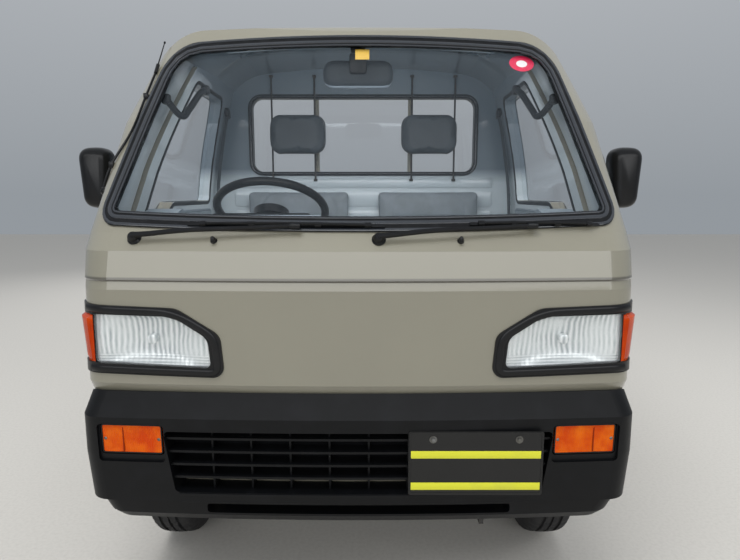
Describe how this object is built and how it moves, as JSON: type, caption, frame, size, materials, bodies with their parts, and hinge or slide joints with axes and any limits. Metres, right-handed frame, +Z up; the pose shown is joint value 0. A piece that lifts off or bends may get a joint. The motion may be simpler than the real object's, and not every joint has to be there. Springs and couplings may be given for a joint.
{
  "type": "cab-over mini pickup truck",
  "caption": "Small cab-over pickup with hinged doors, steered front wheels and a drop-side cargo bed behind a low headboard and guard frame.",
  "frame": {"origin": "on the ground under the middle of the truck", "axes": "+Z up, +Y towards the tail, so the front faces -Y, and the driver sits on the -X side"},
  "size_m": [1.74, 3.295, 1.7599],
  "materials": {
    "body_paint": "gloss",
    "cab_lining": "moulded",
    "chassis_paint": "satin",
    "bumper_plastic": "grained",
    "trim_plastic": "satin",
    "seal_rubber": "matt",
    "window_glass": "clear",
    "lamp_glass": "fluted",
    "amber_lens": "clear amber",
    "red_lens": "clear red",
    "plate_metal": "gloss",
    "seat_vinyl": "grained vinyl",
    "wheel_paint": "silver",
    "tyre_rubber": "moulded",
    "bare_steel": "rolled",
    "cast_metal": "cast"
  },
  "bodies": {
    "root": {"front_panel": "body_paint", "cab_sides": "body_paint", "roof_panel": "body_paint", "rear_wall": "body_paint", "window_seals": "seal_rubber", "windshield": "window_glass", "rear_window": "window_glass", "front_bumper": "bumper_plastic", "bumper_grille": "bumper_plastic", "headlamps": "lamp_glass", "headlamp_bezels": "trim_plastic", "amber_lamps": "amber_lens", "number_plate": "plate_metal", "wipers": "trim_plastic", "chassis_frame": "chassis_paint", "cab_floor": "body_paint", "dashboard": "cab_lining", "steering_column": "trim_plastic", "seat_cushions": "seat_vinyl", "seat_backs": "seat_vinyl", "window_rods": "chassis_paint", "head_rests": "seat_vinyl", "inner_mirror": "trim_plastic", "bed_floor": "body_paint", "headboard": "body_paint", "guard_frame": "body_paint", "tail_lamps": "red_lens", "engine_block": "cast_metal", "fuel_tank": "chassis_paint", "exhaust": "bare_steel", "front_suspension": "chassis_paint", "rear_axle": "chassis_paint", "mud_flaps": "seal_rubber"},
    "steering": {"steering_wheel": "trim_plastic"},
    "door_left": {"door_left": "body_paint", "door_glass_left": "window_glass", "mirror_left": "trim_plastic"},
    "knuckle_left": {"knuckle_left": "cast_metal"},
    "side_gate_left": {"side_gate_left": "body_paint"},
    "wheel_front_left": {"tyre_front_left": "tyre_rubber", "rim_front_left": "wheel_paint"},
    "wheel_rear_left": {"tyre_rear_left": "tyre_rubber", "rim_rear_left": "wheel_paint"},
    "door_right": {"door_right": "body_paint", "door_glass_right": "window_glass", "mirror_right": "trim_plastic"},
    "knuckle_right": {"knuckle_right": "cast_metal"},
    "side_gate_right": {"side_gate_right": "body_paint"},
    "wheel_front_right": {"tyre_front_right": "tyre_rubber", "rim_front_right": "wheel_paint"},
    "wheel_rear_right": {"tyre_rear_right": "tyre_rubber", "rim_rear_right": "wheel_paint"},
    "tail_gate": {"tail_gate": "body_paint"}
  },
  "joints": [
    {"name": "steering_turn", "type": "hinge", "parent": "root", "child": "steering", "pos_m": [-0.292, -1.0875, 1.103], "axis": [0, 0.515, 0.8572], "range_deg": [-561, 561]},
    {"name": "knuckle_left_turn", "type": "hinge", "parent": "root", "child": "knuckle_left", "pos_m": [0.52, -1.0675, 0.271], "axis": [0, 0, 1], "range_deg": [-33.5, 33.5]},
    {"name": "wheel_front_left_roll", "type": "hinge", "parent": "knuckle_left", "child": "wheel_front_left", "pos_m": [0.6025, -1.0675, 0.271], "axis": [1, 0, 0], "continuous": true},
    {"name": "wheel_rear_left_roll", "type": "hinge", "parent": "root", "child": "wheel_rear_left", "pos_m": [0.6025, 0.8325, 0.271], "axis": [1, 0, 0], "continuous": true},
    {"name": "door_left_swing", "type": "hinge", "parent": "root", "child": "door_left", "pos_m": [0.6945, -1.3455, 0.87], "axis": [0, 0, -1], "range_deg": [0, 68]},
    {"name": "side_gate_left_drop", "type": "hinge", "parent": "root", "child": "side_gate_left", "pos_m": [0.688, 0.6425, 0.648], "axis": [0, 1, 0], "range_deg": [0, 175]},
    {"name": "knuckle_right_turn", "type": "hinge", "parent": "root", "child": "knuckle_right", "pos_m": [-0.52, -1.0675, 0.271], "axis": [0, 0, 1], "range_deg": [-33.5, 33.5]},
    {"name": "wheel_front_right_roll", "type": "hinge", "parent": "knuckle_right", "child": "wheel_front_right", "pos_m": [-0.6025, -1.0675, 0.271], "axis": [1, 0, 0], "continuous": true},
    {"name": "wheel_rear_right_roll", "type": "hinge", "parent": "root", "child": "wheel_rear_right", "pos_m": [-0.6025, 0.8325, 0.271], "axis": [1, 0, 0], "continuous": true},
    {"name": "door_right_swing", "type": "hinge", "parent": "root", "child": "door_right", "pos_m": [-0.6945, -1.3455, 0.87], "axis": [0, 0, 1], "range_deg": [0, 68]},
    {"name": "side_gate_right_drop", "type": "hinge", "parent": "root", "child": "side_gate_right", "pos_m": [-0.688, 0.6425, 0.648], "axis": [0, -1, 0], "range_deg": [0, 175]},
    {"name": "tail_gate_drop", "type": "hinge", "parent": "root", "child": "tail_gate", "pos_m": [0, 1.638, 0.648], "axis": [-1, 0, 0], "range_deg": [0, 175]}
  ],
  "couplings": [
    {"joint": "knuckle_left_turn", "follows": "steering_turn", "ratio": 0.058824},
    {"joint": "knuckle_right_turn", "follows": "steering_turn", "ratio": 0.058824}
  ]
}
